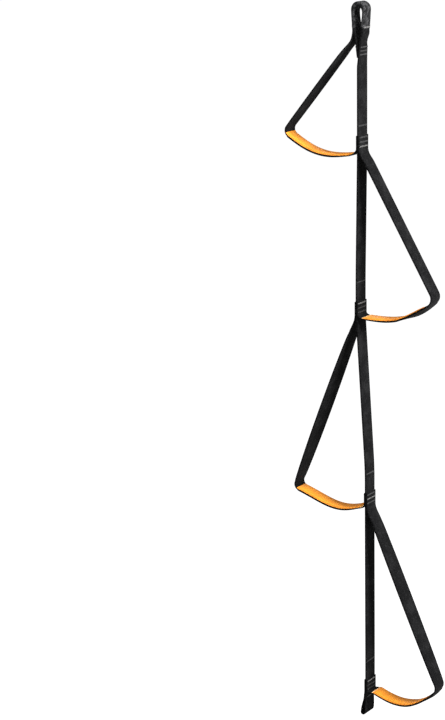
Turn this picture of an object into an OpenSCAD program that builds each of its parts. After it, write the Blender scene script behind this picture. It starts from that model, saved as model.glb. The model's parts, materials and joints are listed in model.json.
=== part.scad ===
// Four-step webbing climbing ladder (etrier), hanging from its clip loop.
// Origin: inner surface of the clip loop's crown. +Z up, X across the steps, Y across the tape.

/* [Tape] */
// Width of the flat webbing tape
tape_w = 30; // [22:1:38]
// Thickness of the flat webbing tape
tape_t = 2; // [1.5:0.1:2.6]
// Width of the tape where it is folded into the clip loop
folded_w = 20; // [14:1:22]
// Thickness of the tape where it is folded into the clip loop
folded_t = 3; // [2.4:0.1:3.6]

/* [Clip loop] */
// Clear width of the clip loop's eye under its crown
eye_w = 17.4; // [12:0.2:26]
// Height of the loop, from the crown's inner surface to the end of its rigid strands
loop_h = 42; // [36:1:60]
// Lean of each strand towards the other, in degrees
strand_lean = 3.5; // [0:0.5:5]
// Wall thickness of the tubular sleeve over the loop
sleeve_wall = 0.6; // [0.4:0.1:1]
// Running gap between the sleeve and the tape inside it
sleeve_gap = 0.1; // [0.05:0.05:0.3]
// Bare tape below the sleeve's ends
sleeve_short = 4; // [3:0.5:8]
// Drop from the loop's rigid strands to the neck's fold
neck_above = 8; // [6:1:12]
// Drop from the neck's fold to the top of the flat spine
neck_below = 12; // [10:1:18]
// Height over which the tape opens out from folded to flat
spread_h = 38; // [24:1:60]
// Length of the tape lap sewn to the spine below the neck
lap_h = 23; // [18:1:40]
// Drop from the neck's fold to where the first step's leg leaves it
first_leg_drop = 4; // [2:1:8]

/* [Ladder] */
// Height of each section, from the fold above it to the fold below it
section_h = [186, 278, 333, 343]; // [170:1:420]
// Sideways drift of each section as it hangs
section_drift = [0, -3, 18, 1]; // [-20:1:20]
// Place of the upper section's spine beside the clip loop's middle
spine_x = 2; // [-4:0.5:6]

/* [Steps] */
// Reach of each step, from the spine to its outer corner
step_reach = [148, 148, 148, 142]; // [110:1:180]
// Height of each step's outer corner above the fold under its block
corner_rise = [20, 44, 10, 39]; // [5:1:50]
// Slope of each tread at its outer corner, in degrees
outer_slope = [31, 38, 15, 50]; // [10:1:55]
// Slope of each tread where it rises to the spine, in degrees
inner_slope = [9, 0, 20, 20]; // [0:1:20]
// Drop of each tread's inner end below the fold
tread_drop = [9, 3, 5, -2]; // [-2:1:10]
// Bend radius of the tape at a step's outer corner
corner_r = [11, 14, 10, 14]; // [6:0.5:18]

/* [Tread layers] */
// Thickness of the plastic stiffener strip
stiffener_t = 1; // [0.6:0.1:1.6]
// Width of the plastic stiffener strip
stiffener_w = 24; // [16:1:30]
// Thickness of the liner over the stiffener
liner_t = 1.2; // [0.8:0.1:2]
// Width of the liner's stitched hem on each long side
hem_w = 1.5; // [1.2:0.1:3]

/* [Sewn blocks] */
// Top of the sewn tape ends above the fold
block_h = 25; // [22:1:36]
// Height of a block's three bar tacks above the fold
bar_heights = [7, 14.5, 22]; // [5:0.5:34]
// Height of the single bar tack on the spine above each block
keeper_height = [41, 58, 59, 59]; // [38:1:62]
// Length of a block's bar tacks across the tape
bar_len = 24; // [14:1:28]
// Length of the single bar tack on the spine above each block
keeper_len = 20; // [12:1:28]
// Length of the bar tacks on the folded tape and its sleeve
narrow_bar_len = 17; // [10:1:20]
// Places of the lap's bar tacks, as shares of the lap's length
lap_bars = [0.2, 0.5, 0.8]; // [0.1:0.05:0.9]
// Height of a bar tack along the tape
bar_h = 1.8; // [1.2:0.1:2.4]
// Height that a bar tack's thread stands proud of the tape
bar_proud = 0.4; // [0.2:0.05:0.6]

/* [Folds] */
// Gap between two tape ends that hinge on each other
fold_gap = 0.43; // [0.4:0.01:0.6]
// Clear height over a fold below which no sewn tape end reaches
fold_clear = 3.5; // [3.4:0.1:5]
// Distance from the spine line at which a step's leg becomes rigid
leg_start = 15; // [14:0.5:20]
// Distance from the spine line at which a tread becomes rigid
tread_start = 18; // [17:0.5:22]

/* [Tail] */
// Length of the tail loop below the lowest fold
tail_h = 44.3; // [34:0.1:70]
// Clear width of the tail loop's eye as it hangs
tail_eye_w = 3; // [2:0.2:12]
// Depth below the fold at which the tail's two strands are sewn together
tail_sewn = 8.5; // [8:0.5:12]
// Lean of the tail loop to the left as it hangs, in degrees
tail_lean = 7; // [0:1:15]

/* [Hidden] */
$fn = 48;
steps = 4;
web_black = [0.09, 0.09, 0.1];
sleeve_black = [0.14, 0.14, 0.15];
thread_grey = [0.55, 0.55, 0.56];
liner_orange = [0.95, 0.55, 0.18];
plastic_white = [0.85, 0.85, 0.82];
curve_n = 24;
corner_n = 10;
straight_h = 66;
loop_t = folded_t + 2 * (sleeve_wall + sleeve_gap);
crown_r = (eye_w + loop_t) / 2;
neck_z = -loop_h - neck_above;
liner_rise = tape_t / 2 + stiffener_t + liner_t;
seam_gap = 0.4;
thread_lift = 0.02;
liner_inset = 3;
tail_back_x = -tape_t - 0.2;
tail_seam_h = 4;
turn_pull = 8;
stitch_share = 0.7;
stitch_w = 0.8;

// ---- Paths in the XZ plane -------------------------------------------------

function unit(v) = v / norm(v);
function turn_left(v) = [-v[1], v[0]];
function sum_to(list, n) = n < 1 ? 0 : list[n - 1] + sum_to(list, n - 1);

// Direction of the run of a path that ends at its point number i, or of its first run.
function run_to(path, i) = unit(path[max(i, 1)] - path[max(i, 1) - 1]);

// Direction of a path at its point number i, halfway between the runs that meet there.
function heading(path, i) = unit(run_to(path, i) + run_to(path, min(i + 1, len(path) - 1)));

// The path moved sideways, to its left, so that its straight runs keep their distance.
function beside(path, d) = [
    for (i = [0 : len(path) - 1])
        let (h = heading(path, i))
        path[i] + turn_left(h) * d / (h * run_to(path, i))
];

// Outline of a tape of thickness t along a path.
function ribbon(path, t) = concat(
    beside(path, t / 2),
    [for (i = [len(path) - 1 : -1 : 0]) beside(path, -t / 2)[i]]
);

function bezier(a, b, c, d, n) = [
    for (i = [0 : n])
        let (u = i / n)
        pow(1 - u, 3) * a + 3 * pow(1 - u, 2) * u * b + 3 * (1 - u) * u * u * c + pow(u, 3) * d
];

// A soft path that leaves its top and reaches its end heading straight down.
function soft_drop(top, end) =
    let (pull = 0.4 * norm(end - top))
    bezier(top, top - [0, pull], end + [0, pull], end, curve_n / 2);

// A part of a path, from point number a to point number b.
function part_of(path, a, b) = [for (i = [a : b]) path[i]];

// ---- The ladder's layout -----------------------------------------------------

// Side of step i: 1 is right, -1 is left. The steps alternate down the ladder.
function side(i) = i % 2 == 0 ? 1 : -1;

// Fold number i: 0 is the neck under the clip loop, 4 is the fold above the tail.
function fold_x(i) = i == 0 ? 0 : spine_x + sum_to(section_drift, i);
function fold_z(i) = neck_z - sum_to(section_h, i);
function fold(i) = [fold_x(i), fold_z(i)];
function spine_top(i) = i == 1 ? [spine_x, neck_z - neck_below] : fold(i - 1);

// Centre of the leg tape where it leaves the block above step i.
function leg_top(i) = i == 1
    ? [-strand_x(-loop_h) - tape_t / 2, neck_z - first_leg_drop]
    : fold(i - 1) + [side(i) * tape_t, 0];

function corner(i) = fold(i) + [side(i) * step_reach[i - 1], corner_rise[i - 1]];
function leg_dir(i) = unit(corner(i) - leg_top(i));
function tread_dir(i) = [-side(i) * cos(outer_slope[i - 1]), -sin(outer_slope[i - 1])];
function swing_dir(i) = unit(fold(i) - fold(i - 1));

// Distance of a point from the line that step i swings about.
function off_spine(i, p) = side(i) * cross(p - fold(i - 1), swing_dir(i)) * -1;

// Point on the leg of step i that lies a given distance from that line.
function leg_point(i, d) =
    leg_top(i) + leg_dir(i) * (d - off_spine(i, leg_top(i)))
        / (off_spine(i, leg_top(i) + leg_dir(i)) - off_spine(i, leg_top(i)));

function corner_turn(i) = acos(leg_dir(i) * tread_dir(i));
function corner_cut(i) = corner_r[i - 1] * tan(corner_turn(i) / 2);
function leg_end(i) = corner(i) - leg_dir(i) * corner_cut(i);
function tread_end(i) = fold(i) + [side(i) * tread_start, -tread_drop[i - 1]];

// The corner's arc, from the leg's direction round to the tread's.
function corner_arc(i) =
    let (start = leg_end(i))
    let (in_dir = -side(i) * turn_left(leg_dir(i)))
    let (r = corner_r[i - 1])
    let (centre = start + in_dir * r)
    [for (k = [0 : corner_n])
        let (a = corner_turn(i) * k / corner_n)
        centre - in_dir * r * cos(a) + leg_dir(i) * r * sin(a)];

// The tread from its outer corner in to the spine: corner arc, then one long dip.
function tread_path(i) =
    let (start = corner_arc(i)[corner_n])
    let (end = tread_end(i))
    let (pull = 0.42 * norm(end - start))
    let (rise = [-side(i) * cos(inner_slope[i - 1]), sin(inner_slope[i - 1])])
    concat(
        part_of(corner_arc(i), 0, corner_n - 1),
        bezier(start, start + tread_dir(i) * pull, end - rise * pull, end, curve_n)
    );

// Half of the clip loop's strand on one side, from the crown's top down.
function crown_side(s, h) =
    let (centre = [0, -eye_w / 2])
    concat(
        [for (a = [0 : 6 : 90 + strand_lean])
            centre + crown_r * [s * sin(a), cos(a)]],
        [let (a = 90 + strand_lean)
            let (p = centre + crown_r * [s * sin(a), cos(a)])
            p + [-s * (p[1] + h) * tan(strand_lean), -(p[1] + h)]]
    );

// The whole clip loop, up the left strand, over the crown and down the right one.
function loop_path(h) =
    let (left = crown_side(-1, h))
    concat([for (i = [len(left) - 1 : -1 : 1]) left[i]], crown_side(1, h));

function strand_x(z) = let (p = crown_side(1, loop_h)) p[len(p) - 1][0]
    + (z + loop_h) * tan(strand_lean);

// ---- Building blocks ------------------------------------------------------------

// A flat tape: its outline in XZ, extruded across its width.
module tape(path, t, w) {
    rotate([90, 0, 0])
        linear_extrude(w, center = true)
            polygon(ribbon(path, t));
}

// The round end of a tape, where it hinges on the next one.
module round_end(at) {
    translate([at[0], 0, at[1]])
        rotate([90, 0, 0])
            cylinder(h = tape_w, d = tape_t, center = true);
}

// One bar tack lying on a face: at is its middle, out is the way that the face looks.
module bar_tack(at, out, length) {
    translate([at[0], 0, at[1]])
        rotate([90, 0, 0])
            linear_extrude(length, center = true)
                polygon([for (a = [0 : 20 : 180])
                    out * bar_proud * sin(a) + turn_left(out) * bar_h / 2 * cos(a)]);
}

// A bar tack sewn through a stack that reaches from x0 to x1.
module through_tack(x0, x1, z, length = bar_len) {
    bar_tack([x0, z], [-1, 0], length);
    bar_tack([x1, z], [1, 0], length);
}

// A tape end sewn flat against the spine, on side s of block i.
module sewn_end(i, s) {
    translate([fold_x(i) + s * tape_t, 0, fold_z(i) + (block_h + fold_clear) / 2])
        cube([tape_t, tape_w, block_h - fold_clear], center = true);
}

// Wedge that opens from the folded width to the flat width going down from z.
module opening_wedge(z) {
    rotate([90, 0, 90])
        linear_extrude(3 * max(step_reach), center = true)
            polygon([
                [-folded_w / 2, z], [folded_w / 2, z],
                [tape_w / 2, z - spread_h], [tape_w / 2, fold_z(1) - tape_w],
                [-tape_w / 2, fold_z(1) - tape_w], [-tape_w / 2, z - spread_h]
            ]);
}

// ---- Head: the clip loop ------------------------------------------------------------

module clip_loop_tape() {
    color(web_black)
        tape(loop_path(loop_h), folded_t, folded_w);
}

module loop_sleeve() {
    short_h = loop_h - sleeve_short;
    color(sleeve_black)
        difference() {
            tape(loop_path(short_h), loop_t, folded_w + 2 * (sleeve_wall + sleeve_gap));
            tape(loop_path(loop_h), folded_t + 2 * sleeve_gap, folded_w + 2 * sleeve_gap);
        }
}

module sleeve_bar_tacks() {
    z = -loop_h + sleeve_short + 2;
    color(thread_grey)
        for (s = [-1, 1], face = [-1, 1]) {
            out = face * [s * cos(strand_lean), -sin(strand_lean)];
            at = [s * strand_x(z), z] + out * (loop_t / 2 + thread_lift);
            bar_tack(at, out, narrow_bar_len);
        }
}

// ---- Neck: from the clip loop to the spine -------------------------------------------

// The right strand's tape, bending in to the spine under the loop.
module neck_tape() {
    top = [strand_x(-loop_h) - seam_gap * tan(strand_lean), -loop_h - seam_gap];
    end = spine_top(1) + [0, seam_gap];
    color(web_black)
        tape(soft_drop(top, end), tape_t, folded_w);
}

// The left strand's inner layer, crossing to the spine and closing the eye.
module neck_gusset() {
    top = [-strand_x(-loop_h) + tape_t / 2, -loop_h - seam_gap];
    end = spine_top(1) + [-tape_t, seam_gap];
    color(web_black)
        tape(soft_drop(top, end), tape_t, folded_w);
}

module neck_lap() {
    top = spine_top(1) - [tape_t, 0];
    color(web_black)
        intersection() {
            tape([top, top - [0, lap_h]], tape_t, tape_w);
            opening_wedge(spine_top(1)[1]);
        }
}

module lap_bar_tacks() {
    color(thread_grey)
        for (k = lap_bars)
            through_tack(spine_x - 1.5 * tape_t, spine_x + tape_t / 2,
                spine_top(1)[1] - k * lap_h, narrow_bar_len);
}

// ---- Sections: spine, block and necks ------------------------------------------------

module spine_tape(i) {
    top = spine_top(i);
    low = fold(i) + [0, tape_t + fold_gap];
    color(web_black) {
        if (i == 1)
            intersection() {
                tape([top, low], tape_t, tape_w);
                opening_wedge(top[1]);
            }
        else {
            tape([top, [fold_x(i), fold_z(i) + straight_h], low], tape_t, tape_w);
            round_end(top);
        }
        round_end(low);
    }
}

// The step's tape, turned up at the end of the tread and sewn to the spine.
module step_tape_end(i) {
    color(web_black)
        sewn_end(i, side(i));
}

// The top of the next step's leg, sewn to the spine's other face.
module leg_head(i) {
    color(web_black)
        sewn_end(i - 1, side(i));
}

module block_bar_tacks(i) {
    x = fold_x(i);
    color(thread_grey) {
        for (h = bar_heights)
            through_tack(x - 1.5 * tape_t, x + 1.5 * tape_t, fold_z(i) + h);
        through_tack(x - tape_t / 2, x + tape_t / 2, fold_z(i) + keeper_height[i - 1],
            keeper_len);
    }
}

// The soft start of a leg, between the block above and the rigid tape.
module leg_neck(i) {
    end = leg_point(i, leg_start) - leg_dir(i) * seam_gap;
    top = i == 1
        ? [-strand_x(-loop_h) - tape_t / 2, -loop_h - seam_gap]
        : fold(i - 1) + [side(i) * tape_t, fold_clear - seam_gap];
    reach = 0.4 * norm(end - top);
    path = bezier(top, top - [0, reach], end - leg_dir(i) * reach, end, curve_n / 2);
    color(web_black)
        if (i == 1)
            intersection() {
                tape(path, tape_t, tape_w);
                opening_wedge(top[1]);
            }
        else
            tape(path, tape_t, tape_w);
}

// The soft end of a tread, turning up from the rigid tape to the block.
module tread_neck(i) {
    rise = [-side(i) * cos(inner_slope[i - 1]), sin(inner_slope[i - 1])];
    start = tread_end(i) + rise * seam_gap;
    top = fold(i) + [side(i) * tape_t, fold_clear - seam_gap];
    color(web_black)
        tape(bezier(start, start + rise * turn_pull, top - [0, 0.6 * turn_pull], top, curve_n / 2),
            tape_t, tape_w);
}

// ---- Stirrups: leg, tread, stiffener and liner --------------------------------------

module leg_tape(i) {
    color(web_black)
        if (i == 1)
            intersection() {
                tape([leg_point(i, leg_start), leg_end(i)], tape_t, tape_w);
                opening_wedge(-loop_h - seam_gap);
            }
        else
            tape([leg_point(i, leg_start), leg_end(i)], tape_t, tape_w);
}

module tread_tape(i) {
    color(web_black)
        tape(tread_path(i), tape_t, tape_w);
}

// A layer on the tread: from point a to point b, from height h0 to h1 over the tape's middle.
module tread_layer(i, a, b, h0, h1, w) {
    path = tread_path(i);
    up = -side(i);
    tape(part_of(beside(path, up * (h0 + h1) / 2), a, b), h1 - h0, w);
}

module tread_stiffener(i) {
    last = corner_n + curve_n;
    color(plastic_white)
        tread_layer(i, corner_n + 1, last - liner_inset, tape_t / 2, tape_t / 2 + stiffener_t,
            stiffener_w);
}

module tread_liner(i) {
    last = corner_n + curve_n;
    color(liner_orange)
        difference() {
            tread_layer(i, corner_n - 2, last - 1, tape_t / 2, liner_rise, tape_w);
            tread_layer(i, corner_n + 1, last - liner_inset, 0, tape_t / 2 + stiffener_t,
                stiffener_w);
        }
}

// Rows of stitches along the liner's two hems.
module liner_stitching(i) {
    path = beside(tread_path(i), -side(i) * (liner_rise + thread_lift + bar_proud / 2));
    row_y = tape_w / 2 - hem_w;
    last = corner_n + curve_n;
    color(thread_grey)
        for (k = [corner_n : last - 2], s = [-1, 1])
            translate([0, s * row_y, 0])
                tape([path[k], path[k] + stitch_share * (path[k + 1] - path[k])],
                    bar_proud, stitch_w);
}

// ---- Tail ----------------------------------------------------------------------------

// A place in the tail's own frame, hanging straight down from the lowest fold.
function tail_point(p) =
    fold(steps) + [p[0] * cos(tail_lean) + p[1] * sin(tail_lean),
        p[1] * cos(tail_lean) - p[0] * sin(tail_lean)];

// The tail loop, down its right strand, round the bottom and up its left strand.
function tail_path() =
    let (r = (tail_eye_w + tape_t) / 2)
    let (centre = [tail_back_x / 2, tape_t / 2 + r - tail_h])
    concat(
        [[0, 0], [0, -tail_sewn - tail_seam_h / 2]],
        [for (a = [0 : 10 : 180]) centre + r * [cos(a), -sin(a)]],
        [[tail_back_x, -tail_sewn - tail_seam_h / 2],
            [tail_back_x, -tail_sewn + tail_seam_h / 2]]
    );

module tail_tape_end() {
    color(web_black)
        sewn_end(steps, -1);
}

module tail_neck() {
    top = fold(steps) + [-tape_t, fold_clear - seam_gap];
    end = tail_point([tail_back_x, -tail_sewn + tail_seam_h / 2 + seam_gap]);
    color(web_black)
        tape(soft_drop(top, end), tape_t, tape_w);
}

module tail_loop() {
    color(web_black) {
        tape([for (p = tail_path()) tail_point(p)], tape_t, tape_w);
        round_end(fold(steps));
    }
}

module tail_bar_tack() {
    out = [cos(tail_lean), -sin(tail_lean)];
    color(thread_grey) {
        bar_tack(tail_point([tape_t / 2 + thread_lift, -tail_sewn]), out, bar_len);
        bar_tack(tail_point([tail_back_x - tape_t / 2 - thread_lift, -tail_sewn]), -out, bar_len);
    }
}

// ---- Drawing ---------------------------------------------------------------------------

clip_loop_tape();
loop_sleeve();
sleeve_bar_tacks();
neck_tape();
neck_gusset();
neck_lap();
lap_bar_tacks();
for (i = [1 : steps]) {
    spine_tape(i);
    step_tape_end(i);
    block_bar_tacks(i);
    leg_neck(i);
    tread_neck(i);
    leg_tape(i);
    tread_tape(i);
    tread_stiffener(i);
    tread_liner(i);
    liner_stitching(i);
}
for (i = [2 : steps])
    leg_head(i);
tail_tape_end();
tail_neck();
tail_loop();
tail_bar_tack();
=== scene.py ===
# %% [markdown]
# A webbing ladder, strap by strap
#
# This lesson dresses a four-step climbing ladder made of flat webbing. The packed model gives the frame:
# every hinge, fold and sewn block already has its place. What is left is what makes webbing look like
# webbing: soft rolled edges, a rib weave that follows each strap, stitched liners and bar tacks of thread.

import json
import math

import bpy
import numpy as np
from mathutils import Matrix, Vector


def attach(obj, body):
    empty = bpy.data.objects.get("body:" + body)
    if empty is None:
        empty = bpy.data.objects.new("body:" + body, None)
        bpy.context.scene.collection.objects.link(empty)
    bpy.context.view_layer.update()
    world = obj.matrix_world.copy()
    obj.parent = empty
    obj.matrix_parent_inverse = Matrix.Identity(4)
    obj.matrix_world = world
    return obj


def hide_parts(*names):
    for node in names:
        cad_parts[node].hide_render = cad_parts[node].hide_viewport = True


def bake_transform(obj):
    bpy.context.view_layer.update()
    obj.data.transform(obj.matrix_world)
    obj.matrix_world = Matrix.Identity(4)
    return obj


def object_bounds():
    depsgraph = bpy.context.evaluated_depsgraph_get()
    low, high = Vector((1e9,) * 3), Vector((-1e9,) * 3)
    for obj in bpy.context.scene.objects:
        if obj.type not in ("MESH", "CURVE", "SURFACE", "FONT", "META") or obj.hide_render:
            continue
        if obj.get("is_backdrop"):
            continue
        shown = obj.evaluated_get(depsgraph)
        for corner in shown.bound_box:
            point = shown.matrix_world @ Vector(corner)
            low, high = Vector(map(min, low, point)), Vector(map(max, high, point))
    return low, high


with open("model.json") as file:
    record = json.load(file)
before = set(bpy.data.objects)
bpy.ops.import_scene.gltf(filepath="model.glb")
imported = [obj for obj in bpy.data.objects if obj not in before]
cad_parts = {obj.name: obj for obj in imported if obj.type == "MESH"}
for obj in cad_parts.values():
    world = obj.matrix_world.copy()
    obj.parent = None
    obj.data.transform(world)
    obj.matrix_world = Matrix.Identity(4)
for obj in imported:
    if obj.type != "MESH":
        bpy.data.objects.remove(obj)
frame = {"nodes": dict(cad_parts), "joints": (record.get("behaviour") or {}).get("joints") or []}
frame_box = [list(corner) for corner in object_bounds()]
print("frame box", [[round(v, 4) for v in corner] for corner in frame_box])

# %% [markdown]
# The folds are the hinges between the ladder's sections, and each strap is laid out from them. The record
# gives their places in metres, so a strap that starts at a fold always meets the sewn block there. The
# other sizes below are the tape's own, such as its width and how far a step reaches. They are the sizes
# that the design gives, written once here because a scene can't read the design's source.

# %% The ladder's layout
mm = 0.001
STEPS = (1, 2, 3, 4)
hinge = {joint["name"]: Vector(joint["pos_m"]) for joint in frame["joints"]}
fold = [hinge[name] for name in ("neck_fold", "block_1_fold", "block_2_fold", "block_3_fold", "tail_fold")]

TAPE_W, TAPE_T = 30 * mm, 2 * mm
FOLDED_W, FOLDED_T = 20 * mm, 3 * mm
STRAIGHT_H, BLOCK_H, FOLD_CLEAR = 66 * mm, 25 * mm, 3.5 * mm
REACH = [148 * mm, 148 * mm, 148 * mm, 142 * mm]
CORNER_RISE = [20 * mm, 44 * mm, 10 * mm, 39 * mm]
OUTER_SLOPE, INNER_SLOPE = [31, 38, 15, 50], [9, 0, 20, 20]
TREAD_DROP = [9 * mm, 3 * mm, 5 * mm, -2 * mm]
CORNER_R = [11 * mm, 14 * mm, 10 * mm, 14 * mm]
LEG_START, TREAD_START = 15 * mm, 18 * mm
SPINE_TOP, SPINE_LOW = Vector((2 * mm, 0, -62 * mm)), Vector((2 * mm, 0, -98 * mm))
NECK_END_Z, HANDOVER = -73.5 * mm, 6 * mm


def side(i):
    """1 for a step on the right of the spine, -1 for one on the left: they alternate down the ladder."""
    return 1 if i % 2 == 0 else -1


print("folds", [(round(p.x / mm), round(p.z / mm)) for p in fold])

# %% [markdown]
# A strap hangs in one flat plane, so its middle line is a list of points. Straight runs need a point every
# centimetre or so, to bend and twist smoothly. Turns need one every millimetre or two. A Bezier curve makes
# the soft runs: it leaves its first point in one direction and arrives at its last point in another.

# %% Lines for the straps
def run(a, b, step=9 * mm):
    """Points along a straight run, the last one left out."""
    count = max(1, round((b - a).length / step))
    return [a.lerp(b, k / count) for k in range(count)]


def curve(a, b, c, d, count):
    """Points along a Bezier curve, the last one left out."""
    points = []
    for k in range(count):
        u = k / count
        points.append((1 - u) ** 3 * a + 3 * (1 - u) ** 2 * u * b + 3 * (1 - u) * u * u * c + u ** 3 * d)
    return points


def arc(centre, arm, turn, count):
    """Points round a centre in the ladder's plane, from the end of arm through turn, the last left out."""
    return [centre + Matrix.Rotation(turn * k / count, 3, "Y") @ arm for k in range(count)]


def leg_top(i):
    if i == 1:
        return Vector((-9.9 * mm, 0, fold[0].z - 4 * mm))
    return fold[i - 1] + Vector((side(i) * TAPE_T, 0, 0))


def step_corner(i):
    return fold[i] + Vector((side(i) * REACH[i - 1], 0, CORNER_RISE[i - 1]))


def leg_dir(i):
    return (step_corner(i) - leg_top(i)).normalized()


def tread_dir(i):
    slope = math.radians(OUTER_SLOPE[i - 1])
    return Vector((-side(i) * math.cos(slope), 0, -math.sin(slope)))


def off_spine(i, point):
    """How far a point lies from the line that step i swings about."""
    along = (fold[i] - fold[i - 1]).normalized()
    return abs((point - fold[i - 1]).cross(along).length)


def leg_at(i, distance):
    """The point of leg i that lies this far from its swing line."""
    near, far = off_spine(i, leg_top(i)), off_spine(i, step_corner(i))
    return leg_top(i).lerp(step_corner(i), (distance - near) / (far - near))


print("legs are", [round((step_corner(i) - leg_top(i)).length / mm) for i in STEPS], "mm long")

# %% [markdown]
# Each strap gets one long table of rows: a point, a width, a thickness and a twist. The spine's table runs
# from the clip loop down to the tail and back up to the lowest block. A step's table runs from the block
# above it, down the leg, round the corner, along the tread and up into its own block. A strap that crosses
# hinges is then built in parts, cut where a row is marked, and the parts share that row, so no gap shows.

# %% Tables of rows
class Line:
    """Rows of a strap, in order, with the marks where its parts begin and end."""

    def __init__(self):
        self.points, self.width, self.thick, self.twist, self.marks = [], [], [], [], {}

    def add(self, points, width=TAPE_W, thick=TAPE_T, twist=0.0):
        for p in points:
            self.points.append(p)
            for rows, value in ((self.width, width), (self.thick, thick), (self.twist, twist)):
                rows.append(value(p) if callable(value) else value)

    def mark(self, name):
        self.marks[name] = len(self.points)

    def direction(self, k):
        """The way the strap runs at row k, halfway between the runs that meet there."""
        before = self.points[max(k, 1)] - self.points[max(k, 1) - 1]
        after = self.points[min(k + 1, len(self.points) - 1)] - self.points[min(k, len(self.points) - 2)]
        return (before.normalized() + after.normalized()).normalized()

    def lengths(self):
        """How far each row lies along the strap."""
        steps = [0.0] + [(b - a).length for a, b in zip(self.points, self.points[1:])]
        return np.cumsum(steps)


print("a line keeps", sorted(vars(Line())))

# %% [markdown]
# The clip loop's strands are folded narrow and lean towards each other, and each opens to its full width
# below the loop. Their folded layers swell inwards towards the loop's foot, so that the strands close up
# there and no second hole shows under the eye. Below the neck the spine runs down in slanting sections. Each
# one goes from a fold to a knee, and from there straight down to the next fold.

# %% The spine's rows
OPENING_H = 38 * mm
EYE_W, CROWN_R, LEAN = 17.4 * mm, 10.9 * mm, math.radians(3.5)
SLEEVE_IN, STRANDS_FREE = -36 * mm, -42 * mm
STRAND_T, FULLER = 5.6 * mm, 2.2 * mm
NEAR_FOLD, KNEE = 12 * mm, 18 * mm


def opening(start_z):
    """A width that opens from folded to flat below start_z."""
    return lambda p: FOLDED_W + (TAPE_W - FOLDED_W) * min(1.0, max(0.0, (start_z - p.z) / OPENING_H))


def closing(z):
    """How much the folded layers swell inwards towards the foot of the loop."""
    return 1.6 * mm * min(1.0, max(0.0, (-20 * mm - z) / (14 * mm)))


def strand_x(z):
    """The middle of the loop's right strand at height z; the left strand mirrors it."""
    centre_z = -EYE_W / 2
    low = Vector((CROWN_R * math.cos(LEAN), 0, centre_z - CROWN_R * math.sin(LEAN)))
    return low.x - (low.z - z) * math.tan(LEAN)


def strand_at(z, out=0.0):
    """The right strand's middle at height z, or a point that lies out from it."""
    return Vector((strand_x(z) + out, 0, z))


def left_strand_at(z, out=0.0):
    return Vector((-strand_x(z) - out, 0, z))


def up(height):
    return Vector((0, 0, height))


spine_line = Line()
lean_top = strand_at(STRANDS_FREE)
pull = up(0.4 * (SPINE_TOP - lean_top).length)
inwards = Vector((-1.2 * mm, 0, 0))
strand = [p + inwards for p in run(strand_at(SLEEVE_IN), lean_top, 2 * mm)]
spine_line.add(strand, FOLDED_W, STRAND_T)
neck_curve = curve(lean_top, lean_top - pull, SPINE_TOP + pull, SPINE_TOP, 12)
for p in neck_curve + run(SPINE_TOP, SPINE_LOW, 3 * mm):
    away = min(1.0, (lean_top.z - p.z) / (16 * mm))
    fuller = FULLER * away * min(1.0, (p.z - SPINE_LOW.z) / (30 * mm))
    thick = (TAPE_T + 0.8 * fuller) * away + STRAND_T * (1 - away)
    spine_line.add([p + inwards * (1 - away) + Vector((fuller, 0, 0))], opening(SPINE_TOP.z), thick)
    if "neck end" not in spine_line.marks and p.z < NECK_END_Z:
        spine_line.mark("neck end")
spine_line.add(run(SPINE_LOW, fold[1] + up(NEAR_FOLD), 6 * mm), opening(SPINE_TOP.z))
for i in STEPS[1:]:
    knee = fold[i] + up(STRAIGHT_H)
    below = (knee - fold[i - 1]).normalized()
    spine_line.add(run(fold[i - 1] + up(NEAR_FOLD), fold[i - 1], 1.5 * mm))
    spine_line.add(run(fold[i - 1], fold[i - 1] + below * HANDOVER, 1.5 * mm))
    spine_line.mark(f"spine {i}")
    soft = below * KNEE
    spine_line.add(run(fold[i - 1] + below * HANDOVER, knee - soft))
    spine_line.add(curve(knee - soft, knee - soft / 2, knee - up(KNEE / 2), knee - up(KNEE), 4))
    spine_line.add(run(knee - up(KNEE), fold[i] + up(NEAR_FOLD), 6 * mm))
spine_line.add(run(fold[4] + up(NEAR_FOLD), fold[4] + up(FOLD_CLEAR), 3 * mm))
spine_line.mark("tail")
print("spine rows", len(spine_line.points), spine_line.marks)

# %% [markdown]
# The tail is the spine's own end, folded back up into a small flat loop and sewn under the lowest block. It
# leans a few degrees to the left as it hangs. Its points are laid out hanging straight down, then turned.

# %% The tail's rows
TAIL_LEAN, TAIL_H, TAIL_EYE = math.radians(7), 42.8 * mm, 5.5 * mm
TAIL_BACK, TAIL_SEWN, TAIL_OPEN, TAIL_WIDE = -TAPE_T - 0.2 * mm, -10.5 * mm, -18 * mm, -22 * mm


def tail_point(x, z):
    return fold[4] + Matrix.Rotation(TAIL_LEAN, 3, "Y") @ Vector((x, 0, z))


bend_r = (TAIL_EYE + TAPE_T) / 2
bend_z = TAPE_T / 2 + bend_r - TAIL_H
front_x, back_x = TAIL_BACK / 2 + bend_r, TAIL_BACK / 2 - bend_r
spine_line.add([fold[4] + up(FOLD_CLEAR), fold[4] + up(1.2 * mm)])
spine_line.add(run(tail_point(0, -1.2 * mm), tail_point(0, TAIL_SEWN), 2 * mm))
spine_line.add(curve(tail_point(0, TAIL_SEWN), tail_point(0, TAIL_OPEN),
                     tail_point(front_x, TAIL_WIDE), tail_point(front_x, bend_z), 12))
for k in range(11):
    turn = math.pi * k / 10
    spine_line.add([tail_point(TAIL_BACK / 2 + bend_r * math.cos(turn), bend_z - bend_r * math.sin(turn))])
spine_line.add(curve(tail_point(back_x, bend_z), tail_point(back_x, TAIL_WIDE),
                     tail_point(TAIL_BACK, TAIL_OPEN), tail_point(TAIL_BACK, TAIL_SEWN), 12)[1:])
tail_end = tail_point(TAIL_BACK, -6.5 * mm)
patch_low = fold[4] + Vector((-TAPE_T, 0, FOLD_CLEAR))
patch_top = patch_low + up(BLOCK_H - FOLD_CLEAR)
spine_line.add(run(tail_point(TAIL_BACK, TAIL_SEWN), tail_end, 2 * mm))
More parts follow.
